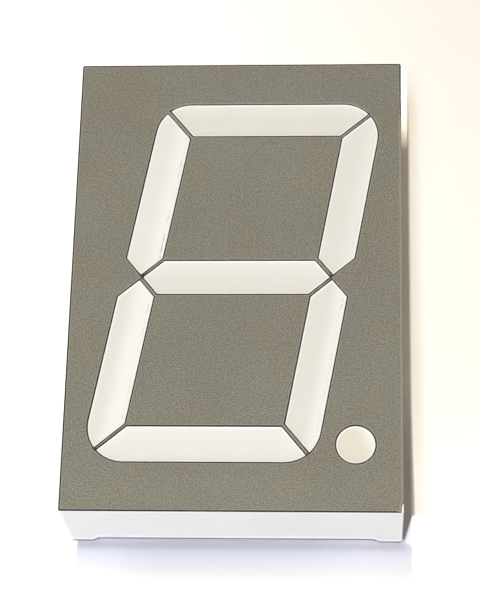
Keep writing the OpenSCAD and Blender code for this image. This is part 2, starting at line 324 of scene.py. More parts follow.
def floor_finish():
    """Pale and matt. The eye sees it brighter than it is, warmer on the right and cooler in front.

    Beside and in front of the part a shadow is painted into the colour the eye sees, over the lamps' own
    shadow. On the right it is a painted shadow band with a crisp edge that runs outwards towards the front.
    The band is painted deeper towards the front and has a painted highlight at its far end. In front there
    is painted light at the part's foot, and then a cool painted shadow.
    From underneath the floor is open, so the part's back can be looked at.
    """
    finish = Finish("pale_floor")
    grain = finish.noise(6.0, detail=3.0).ramp(0.3, 0.7, 0.99, 1.0)
    x, y = finish.axis("X"), finish.axis("Y")
    plain = finish.blend(x.ramp(-10.0, 30.0), raw(1.25, 1.25, 1.25), raw(1.15, 1.12, 1.04))
    # Beside the part: a painted shadow, a warm painted half-shade along its edge, and back to the plain floor
    beyond = x - (EDGE_START - y).math("MAXIMUM", 0) * EDGE_RUN - EDGE_X
    lit = finish.blend(beyond.ramp(0.3, 2.0), raw(1.0, 0.94, 0.83), plain)
    beside = finish.blend(beyond.ramp(-0.05, 0.15), raw(0.95, 0.86, 0.77), lit)
    tip = y - (x.math("MINIMUM", TIP_STOP) - TIP_X) * TIP_SLOPE - TIP_Y
    shadow_band = beyond.ramp(0.1, -0.1)
    # Painted deeper shade in the shadow band, towards its front
    beside = finish.shade(beside, shadow_band * y.ramp(-3, -17) * tip.ramp(-0.3, 0.3) * -0.5 + 1)
    # Painted highlight at the shadow band's far end
    beside = finish.shade(beside, shadow_band * y.ramp(21.0, 22.8) * 1.7 + 1)
    tint = finish.blend(x.ramp(15.0, 16.4) * y.ramp(32.0, 26.0) * y.ramp(-24.5, -23.0), plain, beside)
    # In front of the part: painted light at its foot, a cool painted shadow, and plain again further out
    ahead = finish.blend(y.ramp(-22.4, -23.3), raw(1.8, 1.75, 2.15), raw(1.13, 1.14, 1.3))
    ahead = finish.blend(y.ramp(-23.8, -26.0), ahead, raw(1.06, 1.06, 1.06))
    # Painted lighter towards the left end of the shadow in front
    ahead = finish.shade(ahead, x.ramp(-16.0, -8.0, 1.15, 1.0))
    open_front = y.ramp(-21.0, -22.6)
    open_front = open_front + (tip.ramp(0.4, -0.4) - open_front) * x.ramp(16.2, 16.4)
    open_front = open_front.math("MAXIMUM", y.ramp(-22.2, -22.7))
    tint = finish.blend(open_front * y.ramp(-36.0, -28.0) * abs(x).ramp(19.5, 17.5), tint, ahead)
    level = finish.add("ShaderNodeBsdfDiffuse", {}, {"Color": finish.shade((0.91, 0.91, 0.91), grain)})
    bright = finish.add("ShaderNodeBsdfDiffuse", {}, {"Color": finish.shade(tint, grain)})
    shown = finish.add("ShaderNodeMixShader", {}, {0: finish.seen(), 1: level, 2: bright})
    under = finish.add("ShaderNodeNewGeometry", out="Backfacing")
    open_side = finish.add("ShaderNodeBsdfTransparent")
    return finish.end(finish.add("ShaderNodeMixShader", {}, {0: under, 1: shown, 2: open_side}))


REACH = 3000.0
square = [(x * REACH, y * REACH, PIN_END) for x, y in ((-1, -1), (1, -1), (1, 1), (-1, 1))]
floor = plain_mesh("floor", square, [(0, 1, 2, 3)], floor_finish())


# %% World
def even_sky():
    """Dim and warm behind, dim and cool in front. What the eye, metal and glass see of it is white."""
    finish = Finish("even_sky", bpy.data.worlds, "ShaderNodeOutputWorld", "Generated")
    front = finish.axis("Y").ramp(0.1, -0.7)
    colour = finish.blend(front, raw(1.0, 0.84, 0.64), raw(0.84, 0.93, 1.0))
    dim = finish.add("ShaderNodeBackground", {}, {"Color": colour, "Strength": 0.2})
    bright = finish.add("ShaderNodeBackground", {}, {"Color": raw(1.0, 0.99, 0.98)})
    return finish.end(finish.add("ShaderNodeMixShader", {}, {0: finish.seen(), 1: dim, 2: bright}))


bpy.context.scene.world = even_sky()
bpy.context.scene.view_settings.view_transform = "Standard"


# %% Lamps
def lamp(name, place, aim, sides, light, colour):
    """A lamp with these two sides, in millimetres, that gives a level surface at its aim this share of
    full light.

    A lamp of power P lights a facing surface with P / (pi d^2), and pi is full light, so
    P = share * (pi d)^2, and more where the light comes in at a slant.
    """
    data = bpy.data.lights.new(name, "AREA")
    data.shape = "RECTANGLE"
    data.size, data.size_y = sides[0] * MM, sides[1] * MM
    data.color = colour
    thing = bpy.data.objects.new(name, data)
    ray = Vector(aim) - Vector(place)
    distance = ray.length * MM
    data.energy = light * (math.pi * distance) ** 2 / (-ray.normalized().z)
    thing.location = Vector(place) * MM
    thing.rotation_mode = "QUATERNION"
    thing.rotation_quaternion = looking(ray.normalized())
    bpy.context.scene.collection.objects.link(thing)
    return thing


lamp("strip", (-14, -30, 410), (-14, -30, FACE), (9, 210), 0.67, (1.0, 0.99, 0.97))
lamp("front_fill", (-330, -570, 190), (0, 0, FACE), (240, 240), 0.138, (0.78, 0.84, 1.0))
lamp("back_fill", (420, 330, 210), (0, 0, FACE), (240, 240), 0.07, (1.0, 0.95, 0.88))


# %% [markdown]
# ## The white moulding
#
# Displays are moulded in a glass-filled white plastic with a lot of titanium white in it, so that it
# throws the light of the dice forward. The mould is spark-eroded, which leaves a very fine, even grain.
# The housing's shape in the frame is right, so it only gets its finish here.


# %% White moulding
def dress(node, material):
    """Puts a finish on every slot of a node from the frame."""
    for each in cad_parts[node].material_slots:
        each.link = "OBJECT"
        each.material = material


# Nearly white, for the painted highlights
PAINTED_HIGHLIGHT = linear(255, 254, 251)
# Along the lower edge: how wide a foot is, how far in the slope beside it ends, and how high the rest lies
FOOT_FLAT = 2.1
FOOT_END = 2.95
RELIEF = 0.85


def white_moulding():
    """White and finely grained, with a painted highlight along its sharp edges. Along the lower edge of the
    front wall, a painted line of shade and a painted highlight above it stand for the light and shade that a
    floor throws there.

    Both follow the height above the lower edge, which counts from the feet's level at the feet and from
    RELIEF higher between them.
    """
    finish = Finish("white_moulding")
    flow = finish.noise(9.0, detail=3.0, roughness=0.6)
    grain = finish.noise(0.18, detail=2.0)
    colour = finish.blend(flow.ramp(0.3, 0.7), linear(243, 239, 231), linear(238, 235, 228))
    colour = finish.shade(colour, grain.ramp(0.2, 0.8, 0.985, 1.01))
    side = abs(finish.axis("X")).ramp(body_high[0] - 0.3, body_high[0] - 0.12)
    end = abs(finish.axis("Y")).ramp(body_high[1] - 0.3, body_high[1] - 0.12)
    top = finish.axis("Z").ramp(LEVEL - 0.45, LEVEL - 0.3)
    # Painted highlight along the upright edges and the upper edge
    colour = finish.blend((side * end).math("MAXIMUM", top) * 0.8, colour, PAINTED_HIGHLIGHT)
    rims = [
        abs(finish.axis(name)).ramp(body_high[k] - FOOT_FLAT, body_high[k] - FOOT_END, 0, RELIEF)
        for k, name in enumerate("XY")
    ]
    above = finish.axis("Z") - rims[0].math("MAXIMUM", rims[1])
    front = finish.axis("Y").ramp(0.45 - body_high[1], 0.15 - body_high[1])
    # Along the front wall's lower edge: a painted highlight, and below it a painted line of shade
    colour = finish.blend(above.ramp(1.4, 1.0) * front * 0.8, colour, PAINTED_HIGHLIGHT)
    colour = finish.blend(above.ramp(0.52, 0.4) * front * 0.9, colour, linear(70, 67, 74))
    return finish.coat(
        Base_Color=colour,
        Roughness=flow.ramp(0.3, 0.7, 0.42, 0.5),
        Normal=finish.bump(grain, 0.004),
    )


dress("housing", white_moulding())

# %% [markdown]
# ## Outlines of the character
#
# The seven segments are the strokes of a figure eight. Every stroke is a straight bar, cut at 45 degrees
# where it meets the next one, and the figure's four outer corners are round. So a stroke can be described
# across its width: at each distance from its centre line it runs between two ends, and both ends follow a
# short formula. That gives a surface of two parameters, one along and one across the stroke.


# %% Ends of a stroke
def mitre(inset):
    """What a mitred end loses to half the joint and an inset, measured along the stroke."""
    return (GAP / 2 + inset) * math.sqrt(2)


def corner_reach(height, lean, inset):
    """How far out from the stroke's centre line the round corner comes, at a height over its centre.

    The corner is a true circle once the character is slanted. Drawn upright it is the circle pushed back by
    the lean k: reach = half - inset - r s + sqrt(r^2 - h^2) + k h, with s = sqrt(1 + k^2).
    """
    radius, skew = CORNER - inset, math.hypot(1, lean)
    height = np.clip(height, radius * lean / skew, radius)
    return HALF - inset - radius * skew + np.sqrt(radius**2 - height**2) + lean * height


def corner_height(aside, lean, inset):
    """The same corner solved for the height: h = (sqrt(s^2 r^2 - w^2) - k w) / s^2, w measured sideways."""
    radius, skew = CORNER - inset, math.hypot(1, lean)
    sideways = np.clip(aside + HALF - inset - radius * skew, -radius * skew, -radius * lean)
    return (np.sqrt((skew * radius) ** 2 - sideways**2) - lean * sideways) / skew**2


def meeting(lean, inset, way):
    """Angle on that circle where the joint meets it, on the cap's side (way 1) or the upright's (way -1)."""
    cosine = way * mitre(inset) / (CORNER - inset) + 1 - math.hypot(1, lean)
    return math.atan2(1 - lean, 1) + math.acos(cosine / math.hypot(1, 1 - lean))


def bar_ends(across, inset, lean):
    """The middle stroke: both ends are points, pulled in by as much as the distance from the centre line."""
    end = NODE_X - mitre(inset) - np.abs(across)
    return -end, end


def cap_ends(across, inset, lean):
    """The top stroke: each end follows the 45 degree joint outwards until the round corner stops it."""
    joint, height = across - mitre(inset), across - HALF + CORNER
    left, right = (np.minimum(joint, corner_reach(height, way * lean, inset)) for way in (1, -1))
    return -NODE_X - left, NODE_X + right


def side_ends(across, inset, lean):
    """The upper left stroke: a point below, and above it the joint with the top stroke and the corner."""
    corner = HALF - CORNER + corner_height(across, lean, inset)
    return np.abs(across) + mitre(inset), NODE_Y + np.minimum(-across - mitre(inset), corner)


# %% A stroke as a surface of two parameters
STROKES = {
    "a": ("cap", 1, 1),
    "b": ("side", -1, 1),
    "c": ("side", -1, -1),
    "d": ("cap", 1, -1),
    "e": ("side", 1, -1),
    "f": ("side", 1, 1),
    "g": ("bar", 1, 1),
}
ENDS = {"bar": bar_ends, "cap": cap_ends, "side": side_ends}


def stroke(name, along, across, inset=0.0):
    """Points of a stroke for along in 0 to 1 and across in -1 to 1, both arrays.

    The distance from the centre line is across * (half - inset). Along runs between the two ends at that
    distance. The basic stroke is then put in its place, mirrored, and slanted by x + y * tan(slant).
    """
    kind, mirror_x, mirror_y = STROKES[name]
    aside = across * (HALF - inset)
    start, end = ENDS[kind](aside, inset, SLANT * mirror_x * mirror_y)
    run = start + (end - start) * along
    x, y = {"bar": (run, aside), "cap": (run, aside + NODE_Y), "side": (aside - NODE_X, run)}[kind]
    x, y = x * mirror_x, y * mirror_y + RISE
    return np.stack([x + y * SLANT, y], axis=-1)


def rim_of(grid):
    """The border of a grid of points, once round it."""
    return np.concatenate([grid[:-1, 0], grid[-1, :-1], grid[:0:-1, -1], grid[0, :0:-1]])


def eased(count, low=0.0, high=1.0):
    """Numbers from low to high that crowd together at both ends, as half a cosine wave does."""
    return low + (high - low) * (1 - np.cos(np.linspace(0, math.pi, count))) / 2


def rows_across(name, count, inset):
    """Eased rows from -1 to 1, and one more through every tip, where a joint meets a round corner."""
    kind, mirror_x, mirror_y = STROKES[name]
    lean, radius, tips = SLANT * mirror_x * mirror_y, CORNER - inset, []
    if kind == "cap":
        tips = [HALF - CORNER + radius * math.sin(meeting(way * lean, inset, 1)) for way in (1, -1)]
    if kind == "side":
        angle = meeting(lean, inset, -1)
        tips = [inset - HALF + radius * (math.hypot(1, lean) + math.cos(angle) - lean * math.sin(angle))]
    return np.sort([*eased(count, -1, 1), *(tip / (HALF - inset) for tip in tips)])


# Points along and across the grid of a stroke
RUNS, ROWS = 61, 25


def stroke_grid(name, inset=0.0, runs=RUNS, rows=ROWS):
    """A stroke's points on a grid, crowded towards its edges."""
    along, across = np.meshgrid(eased(runs), rows_across(name, rows, inset), indexing="ij")
    return stroke(name, along, across, inset)


def upright_first(loop):
    """The loop, turned round if it runs clockwise: its signed area is half the sum of cross products."""
    ahead = np.roll(loop, -1, axis=0)
    area = np.sum(loop[:, 0] * ahead[:, 1] - ahead[:, 0] * loop[:, 1]) / 2
    return loop if area > 0 else loop[::-1]


for letter in STROKES:
    low, high = corners(f"segment_{letter}")
    drawn = stroke_grid(letter).reshape(-1, 2)
    gap = max(np.abs(drawn.min(0) - low[:2]).max(), np.abs(drawn.max(0) - high[:2]).max())
    print(f"stroke {letter} is off the frame by {gap:.3f} mm")


# %% [markdown]
# ## The resin in the funnels
#
# Each funnel is cast full of epoxy with a white diffuser in it. It wets the funnel's lip, so its surface
# climbs a few hundredths of a millimetre along the edge and hangs slightly in the middle. Over the
# funnel's sloping walls the resin is thin, and the white moulding shines through. The side that faces the
# light looks almost white, with a broken line where the wall drops out of sight. Both are painted into the
# resin's colour: painted light over the lit side, and a broken painted line of shade.
#
# A flat polygon can't show any of this. The grid of a stroke can: its height follows the distance to the
# edge, and that distance and the place across the stroke are kept as attributes for the finish.


# %% Helpers for grids
def grid_faces(rows, columns, start=0, flip=False):
    """Quads that join neighbours in a grid of points, numbered row by row from start."""
    number = np.arange(rows * columns).reshape(rows, columns) + start
    quads = np.stack([number[:-1, :-1], number[1:, :-1], number[1:, 1:], number[:-1, 1:]], -1).reshape(-1, 4)
    return quads[:, ::-1] if flip else quads


def band_faces(count, lower, upper):
    """Quads between two closed rings of count points, whose first points have these numbers."""
    here = np.arange(count)
    ahead = (here + 1) % count
    return np.stack([lower + here, lower + ahead, upper + ahead, upper + here], -1)


def edge_distance(points, loop):
    """How far each point is from a closed outline: the least distance to any of its straight pieces."""
    start, run = loop, np.roll(loop, -1, axis=0) - loop
    length = np.maximum((run**2).sum(-1), 1e-12)
    away = points[:, None] - start[None]
    share = np.clip((away * run).sum(-1) / length, 0, 1)
    return np.sqrt(((away - share[..., None] * run) ** 2).sum(-1)).min(1)


def carry(thing, name, values):
    """Stores one number for each point of a mesh."""
    layer = thing.data.attributes.new(name, "FLOAT", "POINT")
    layer.data.foreach_set("value", np.asarray(values, np.float32))


# %% Milky resin
# Where the painted line of shade runs, from 0 at a stroke's centre line to 1 at its right edge
WALL_LINE = 0.82


def milky_resin(name, body):
    """Warm white, with painted light over the wall that faces the light, a broken painted line of shade where
    that wall drops out of sight, and a thin bright wetted rim.
    """
    finish = Finish(name)
    rim = finish.attribute("rim")
    lit_wall_paint = finish.attribute("lit_wall_paint")
    lean = finish.attribute("lean")
    cloud = finish.noise(3.5, detail=3.0)
    fleck = finish.noise(0.9, detail=3.0, roughness=0.6)
    # Painted light of the lit funnel wall, seen through thin resin
    colour = finish.blend(lit_wall_paint + (cloud - 0.5) * 0.22, body, linear(252, 251, 246))
    drift = lean + (cloud - 0.5) * 0.2
    # Painted shade: a broken line where the lit wall drops out of sight
    painted_shade_line = abs(drift - WALL_LINE).ramp(0.05, 0.0) * fleck.ramp(0.5, 0.58) * finish.attribute("wall_shade")
    colour = finish.blend(painted_shade_line, colour, linear(96, 90, 80))
    colour = finish.blend(rim.ramp(0.18, 0.1) * 0.9, colour, linear(255, 254, 250))
    return finish.coat(
        Base_Color=colour,
        Roughness=cloud.ramp(0.3, 0.7, 0.4, 0.5),
        Specular_IOR_Level=0.3,
        Normal=finish.bump(finish.noise(1.4, detail=2.0), 0.005),
    )


# %% The seven castings
# How high the resin climbs at its edge, over which distance the climb fades, and how deep the middle hangs
WETTED = 0.055
CLIMB = 0.22
SAG = 0.02
# For each stroke: the least and the most painted light of its lit wall, seen through the thin resin, and
# where across it this starts and ends, from -1 at the left or lower edge to 1 at the other
WALL_LIGHT_PAINT = {
    "a": (0.00, 0.25, -0.2, 0.9),
    "b": (0.05, 0.40, -0.2, 1.0),
    "c": (0.00, 0.56, -0.1, 0.7),
    "d": (0.26, 0.38, -0.8, 0.5),
    "e": (0.08, 0.76, -0.65, 0.4),
    "f": (0.27, 0.74, -0.3, 0.7),
    "g": (0.05, 0.36, -0.6, 0.9),
}
# How strong the painted line of shade is in the four upright strokes
WALL_SHADE = {"b": 0.25, "c": 0.4, "e": 0.5, "f": 0.8}


def surface_height(distance):
    """Resin that wets its edge: the height falls off as exp(-distance / climb) from the wetted edge."""
    return LEVEL - SAG + WETTED * np.exp(-distance / CLIMB)


def painted_wall_light(letter, lean):
    """How much painted light the lit wall gives: it eases from low to high as lean goes from start to end."""
    low, high, start, end = WALL_LIGHT_PAINT[letter]
    share = np.clip((lean - start) / (end - start), 0, 1)
    return low + (high - low) * share**2 * (3 - 2 * share)


def cast_stroke(letter, material):
    """Two grids of the stroke, the free surface and the foot on the board, joined round a funnel's walls."""
    top, foot = stroke_grid(letter), stroke_grid(letter, TAPER)
    runs, rows = top.shape[:2]
    rim = rim_of(top)
    distance = edge_distance(top.reshape(-1, 2), rim)
    high = np.column_stack([top.reshape(-1, 2), surface_height(distance)])
    low = np.column_stack([foot.reshape(-1, 2), np.full(runs * rows, BASE)])
    lip = np.column_stack([rim, np.full(len(rim), LIP)])
    ring = rim_of(np.arange(runs * rows).reshape(runs, rows))
    count = len(ring)
    low_ring, lip_ring = ring + runs * rows, np.arange(count) + 2 * runs * rows
    steps = ((low_ring, lip_ring), (lip_ring, ring))
    walls = [np.stack([a, np.roll(a, -1), np.roll(b, -1), b], -1) for a, b in steps]
    faces = np.concatenate([grid_faces(runs, rows), grid_faces(runs, rows, runs * rows)[:, ::-1], *walls])
    kind, mirror_x, mirror_y = STROKES[letter]
    if mirror_x * mirror_y * (-1 if kind == "side" else 1) < 0:
        faces = faces[:, ::-1]
    thing = plain_mesh(f"resin_{letter}", np.concatenate([high, low, lip]), faces, material, smooth=True)
    across = rows_across(letter, ROWS, 0.0) * np.ones((runs, 1))
    lean = (across * (mirror_x if kind == "side" else mirror_y)).ravel()
    carry(thing, "rim", np.concatenate([distance, np.ones(len(low)), np.zeros(count)]))
    carry(thing, "lean", np.concatenate([lean, lean, np.zeros(count)]))
    carry(thing, "lit_wall_paint", np.concatenate([painted_wall_light(letter, lean), lean * 0, np.zeros(count)]))
    wall_shade = WALL_SHADE.get(letter, 0.0) * (0.3 + 0.7 * np.repeat(eased(runs, -1, 1), rows) ** 2)
    carry(thing, "wall_shade", np.concatenate([wall_shade, lean * 0, np.zeros(count)]))
    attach(thing, "root")
    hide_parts(f"segment_{letter}")
    return thing


MILKY = milky_resin("milky_resin", linear(230, 226, 217))
for letter in STROKES:
    made = cast_stroke(letter, MILKY)
print("resin points in a stroke:", len(made.data.vertices))

# %% [markdown]
# ## The decimal point
#
# The point is the same casting in a round funnel, so it is a surface of revolution: one profile, from the
# middle of the free surface out to the wetted edge, down the lip and the funnel, and back to the middle.


# %% Surfaces of revolution
def turned_mesh(profile, centre, steps=64):
    """A closed solid of revolution about an upright axis, from a profile of (radius, height) points.

    A point of the surface is centre + (r cos t, r sin t, z). The first and last point lie on the axis, so
    each is one point of the mesh, joined to its neighbours by triangles.
    """
    angle = np.linspace(0, 2 * math.pi, steps, endpoint=False)
    radius, height = profile[1:-1].T
    rings = np.stack([
        centre[0] + radius[:, None] * np.cos(angle),
        centre[1] + radius[:, None] * np.sin(angle),
        height[:, None] + 0 * angle,
    ], -1).reshape(-1, 3)
    poles = [(*centre, profile[0, 1]), (*centre, profile[-1, 1])]
    points = np.concatenate([rings, poles])
    here = np.arange(steps)
    ahead = (here + 1) % steps
    last = (len(radius) - 1) * steps
    faces = []
    for row in range(len(radius) - 1):
        faces += band_faces(steps, (row + 1) * steps, row * steps).tolist()
    faces += np.stack([here, ahead, here * 0 + len(rings)], -1).tolist()
    faces += np.stack([last + ahead, last + here, here * 0 + len(rings) + 1], -1).tolist()
    return points, faces


# %% The round casting
point_r = (point_high[0] - point_low[0]) / 2
point_centre = (point_low[:2] + point_high[:2]) / 2
reach = point_r * np.sin(np.linspace(0, math.pi / 2, 20))
profile = np.array([
    *zip(reach, surface_height(point_r - reach)),
    (point_r, LIP),
    (point_r - TAPER, BASE),
    (0.0, BASE),
])
points, faces = turned_mesh(profile, point_centre)
cream = milky_resin("milky_resin_cream", linear(229, 224, 205))
resin_point = plain_mesh("resin_point", points, faces, cream, smooth=True)
away = points[:, :2] - point_centre
distance = point_r - np.hypot(*away.T)
carry(resin_point, "rim", distance)
carry(resin_point, "lean", away[:, 0] / point_r)
# Painted light on the side of the round casting that faces the light
carry(resin_point, "lit_wall_paint", 1.1 * np.clip(away @ (0.9, 0.4) / point_r - 0.25, 0, 1))
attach(resin_point, "root")
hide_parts("decimal_point")
print("points in the round casting:", len(points))

# %% [markdown]
# ## The printed face
#
# A thin grey layer covers the face and stays a hair's breadth back from every opening. Its cut edges are
# rounded, with a painted line of shade along them and a faint painted highlight beside it, and at the lower
# right corner a sliver has broken off. It is a flat piece with eight holes, so it can't be one grid. Its
# shoulders are rings that follow each outline, and only the flat middle between the innermost rings is
# triangulated.


# %% Outlines and margins
def margin(loop, width):
    """The anticlockwise loop moved outwards by a width.

    Each corner goes along n1 + n2, the outward normals of its two sides, by width / (1 + n1 . n2).
    """
    ahead = np.roll(loop, -1, axis=0) - loop
    after = np.stack([ahead[:, 1], -ahead[:, 0]], -1) / np.hypot(*ahead.T)[:, None]
    before = np.roll(after, 1, axis=0)
    return loop + width * (before + after) / (1 + (before * after).sum(-1, keepdims=True))


def holds(loop, points):
    """Whether each point lies inside the loop: a ray to the right crosses it an odd number of times."""
    x, y = points[:, None, 0], points[:, None, 1]
    x0, y0 = loop.T
    x1, y1 = np.roll(loop, -1, axis=0).T
    rise = np.where(y1 == y0, 1e-9, y1 - y0)
    crossed = ((y0 > y) != (y1 > y)) & (x < x0 + (y - y0) / rise * (x1 - x0))
    return crossed.sum(1) % 2 == 1


# How far the ink stays back from each opening. The layer in the frame stays 0.06 back.
LIP_GAP = 0.02
EDGE_RADIUS = 0.2
# Where the sliver broke off, from the near edge to the right edge, counted from the face's corner
CHIP = np.array([
    (-0.2, 0), (-0.18, 0.2), (-0.19, 0.38), (-0.17, 0.56), (-0.11, 0.8), (-0.05, 0.87), (0, 0.96)
])


def border():
    """The face's outline: four rounded corners with closely spaced points between, and the chip in one."""
    wide, long = film_high[:2] - EDGE_RADIUS
    turn = np.linspace(0, math.pi / 2, 7)
    quarter = EDGE_RADIUS * np.stack([np.cos(turn), np.sin(turn)], -1)
    back_right = quarter + (wide, long)
    back_left = quarter[::-1] * (-1, 1) + (-wide, long)
    front_left = -quarter + (-wide, -long)
    front_right = CHIP + (film_high[0], film_low[1])
    parts = [back_right, back_left, front_left, front_right]
    loop = []
    for part, following in zip(parts, parts[1:] + parts[:1]):
        steps = int(np.hypot(*(following[0] - part[-1])) / 0.8)
        loop += [part, np.linspace(part[-1], following[0], steps, endpoint=False)[1:]]
    return np.concatenate(loop)


turn = np.linspace(0, 2 * math.pi, 72, endpoint=False)
round_hole = point_centre + point_r * np.stack([np.cos(turn), np.sin(turn)], -1)
openings = [upright_first(rim_of(stroke_grid(letter, 0.0, 41, 13))) for letter in STROKES] + [round_hole]
openings = [margin(loop, LIP_GAP) for loop in openings]
outlines = [(border(), -1)] + [(loop, 1) for loop in openings]
print("points in each outline:", [len(loop) for loop, way in outlines])

# %% Shoulders and the flat middle
# Distances from the cut edge, of the rings over its rounded shoulder and of the loose points further inland
SHOULDER = [0.0, 0.012, 0.03, 0.06, 0.09, 0.12]
INLAND = [0.16, 0.2, 0.25, 0.32]
SHOULDER_WIDE = 0.06
SHOULDER_HIGH = 0.05


def shoulder_height(inland):
    """A quarter of an ellipse, SHOULDER_WIDE wide and SHOULDER_HIGH high, and level from there on."""
    share = np.clip(1 - inland / SHOULDER_WIDE, 0, 1)
    return FACE - SHOULDER_HIGH * (1 - np.sqrt(1 - share**2))


def fill_flat(rings, loose):
    """Triangles between the first ring and the others, on their points and on the loose points inland."""
    points = np.concatenate([*rings, loose])
    sides, first = [], 0
    for ring in rings:
        here = np.arange(len(ring))
        sides.append(np.stack([here, (here + 1) % len(ring)], -1) + first)
        first += len(ring)
    found = delaunay_2d_cdt([Vector(point) for point in points], np.concatenate(sides).tolist(), [], 0, 1e-6)
    spots, source, triangles = np.array([tuple(spot) for spot in found[0]]), found[3], np.array(found[2])
    middle = spots[triangles].mean(1)
    kept = holds(rings[0], middle)
    for ring in rings[1:]:
        kept &= ~holds(ring, middle)
    return np.array([origin[0] for origin in source])[triangles[kept]]


def line_width(loop, way):
    """How wide the painted line of shade along a cut edge is: 0.15 on straight edges, 0.11 in the joints,
    less far back.

    For n, the normal into the ink, 2 (nx^4 + ny^4) - 1 is 1 on a straight edge and 0 on a joint. The long
    right side of the face has no such line, except near its far end.
    """
    nx, ny = ((margin(loop, 0.01 * way) - loop) / 0.01).T
    straight = np.clip(2 * (nx**4 + ny**4) - 1, 0, 1)
    width = 0.11 + 0.04 * straight + 0.02 * np.clip(np.maximum(-nx, -ny), 0, 1)
    if way < 0:
        return width + 0.04 - 0.21 * (nx < -0.9) * np.clip((19 - loop[:, 1]) / 2, 0, 1)
    return width - 0.1 * np.clip(ny, 0, 1) * np.clip((loop[:, 1] + 20) / 40, 0, 1)


def face_mesh():
    """Rings up each cut edge and over its shoulder, then the flat middle, and the same flat underneath."""
    points, inland, widths, faces, tops, feet = [], [], [], [], [], []
    total = 0
    for loop, way in outlines:
        count = len(loop)
        rings = [np.column_stack([loop, np.full(count, LEVEL)])]
        for k in SHOULDER:
            rings.append(np.column_stack([margin(loop, way * k), np.full(count, shoulder_height(k))]))
        points += rings
        inland += [np.full(count, k) for k in [0.0, *SHOULDER]]
        widths += [line_width(loop, way)] * len(rings)
        for row in range(len(rings) - 1):
            quads = band_faces(count, total + row * count, total + (row + 1) * count)
            faces += (quads if way < 0 else quads[:, ::-1]).tolist()
        feet.append(np.arange(count) + total)
        tops.append(np.arange(count) + total + (len(rings) - 1) * count)
        total += len(rings) * count
    loose = np.concatenate([margin(loop, way * k) for k in INLAND for loop, way in outlines])
    far = np.min([edge_distance(loose, loop) for loop, way in outlines], axis=0)
    wanted = np.concatenate([np.full(len(loop), k) for k in INLAND for loop, way in outlines])
    loose, far = loose[far > 0.96 * wanted], far[far > 0.96 * wanted]
    points.append(np.column_stack([loose, np.full(len(loose), FACE)]))
    inland.append(far)
    widths.append(np.full(len(loose), 0.1))
    points = np.concatenate(points)
    number = np.concatenate([*tops, np.arange(len(loose)) + total])
    faces += number[fill_flat([points[ring, :2] for ring in tops], loose)].tolist()
    under = fill_flat([points[ring, :2] for ring in feet], np.empty((0, 2)))
    faces += np.concatenate(feet)[under][:, ::-1].tolist()
    return points, faces, np.concatenate(inland), np.concatenate(widths)


# %% Grey ink
def grey_ink():
    """Warm grey, clouded between brown and green, with a fine crawling speckle, a painted line of shade along
    the cut edges, a faint painted highlight beside it, and painted lighter towards the near edge.
    """
    finish = Finish("grey_ink")
    inland = finish.attribute("inland")
    cloud = finish.noise(9.0, detail=1.0)
    tint = finish.noise(6.0, detail=2.0, roughness=0.5)
    crawl = finish.noise(0.24, detail=1.0)
    grain = finish.noise(0.1, detail=0.0)
    colour = finish.blend(tint.ramp(0.36, 0.64), linear(131, 126, 111), linear(128, 128, 115))
    strength = cloud.ramp(0.3, 0.7, 0.96, 1.02) * crawl.ramp(0.35, 0.65, 0.95, 1.05)
    colour = finish.shade(colour, strength * grain.ramp(0.38, 0.62, 0.65, 1.35))
    # Painted lighter towards the near edge, by up to 7 %
    colour = finish.shade(colour, finish.axis("Y").ramp(-18.5, -22.0, 1.0, 1.07))
    line = finish.attribute("line")
    # Painted highlight: a faint pale line beside the line of shade
    pale_line = abs(inland - line - 0.09).ramp(0.06, 0.01)
    colour = finish.blend(pale_line * 0.3, colour, linear(190, 186, 172))
    # Painted shade: a dark line along the cut edges, as wide as the line attribute gives
    cut = (inland - line).ramp(0.015, -0.015) * cloud.ramp(0.3, 0.6, 0.92, 1.0)
    colour = finish.blend(cut, colour, linear(18, 15, 10))
    return finish.coat(
        Base_Color=colour,
        Roughness=grain.ramp(0.3, 0.7, 0.58, 0.68),
        Specular_IOR_Level=0.3,
        Normal=finish.bump(crawl, 0.006),
    )


points, faces, inland, widths = face_mesh()
printed_face = plain_mesh("printed_face", points, faces, grey_ink(), smooth=True)
carry(printed_face, "inland", inland)
carry(printed_face, "line", widths)
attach(printed_face, "root")
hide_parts("face_film")
print("faces in the printed face:", len(faces))

# %% [markdown]
# ## The sealed back
#
# The back is filled with clear resin, poured in while the display lies on its face. The resin climbs up
# the four walls and the ten pins, and is not quite level between them. Board, copper and solder show
# through it.


# %% Potting
def crowded(low, high, count, spots, offsets):
    """Evenly spaced lines from low to high, with more of them at given offsets beside each spot."""
    extra = [spot + way * offset for spot in spots for offset in offsets for way in (-1, 1)]
    lines = np.unique(np.round([*np.linspace(low, high, count), *extra], 3))
    return lines[(lines >= low) & (lines <= high)]


PITCH = 2.54
ROW = 20.32
PIN_RADIUS = 0.25
PIN_PLACES = np.array([(place * PITCH, y) for y in (-ROW, ROW) for place in (-2, -1, 0, 1, 2)])
SEAL = seal_low[2]
# How far the sealing resin climbs at a wall or pin, over which distance that fades, and its highest climb
CREEP = 0.3
CREEP_RUN = 0.35
CREEP_TOP = 0.32


def seal_surface(x, y):
    """The resin's open side, facing down: level, and CREEP * exp(-d / CREEP_RUN) lower at distance d from
    the nearest wall, and again from the nearest pin, but never by more than CREEP_TOP.

    Three slow sine waves, a few hundredths of a millimetre high, keep it from being perfectly flat.
    """
    wall = np.minimum(seal_high[0] - np.abs(x), seal_high[1] - np.abs(y))
    pin = np.min([np.hypot(x - px, y - py) for px, py in PIN_PLACES], axis=0) - PIN_RADIUS
    climb = sum(CREEP * np.exp(-np.maximum(away, 0) / CREEP_RUN) for away in (wall, pin))
    wave = np.sin(x * 0.31 + 1) * np.cos(y * 0.17)
    wave = wave + 0.6 * np.sin(y * 0.42 + x * 0.2) + 0.4 * np.cos(x * 0.55 - y * 0.3)
    return SEAL - np.minimum(climb, CREEP_TOP) + 0.015 * wave


INTO_WALL = 0.02
INTO_BOARD = 0.05


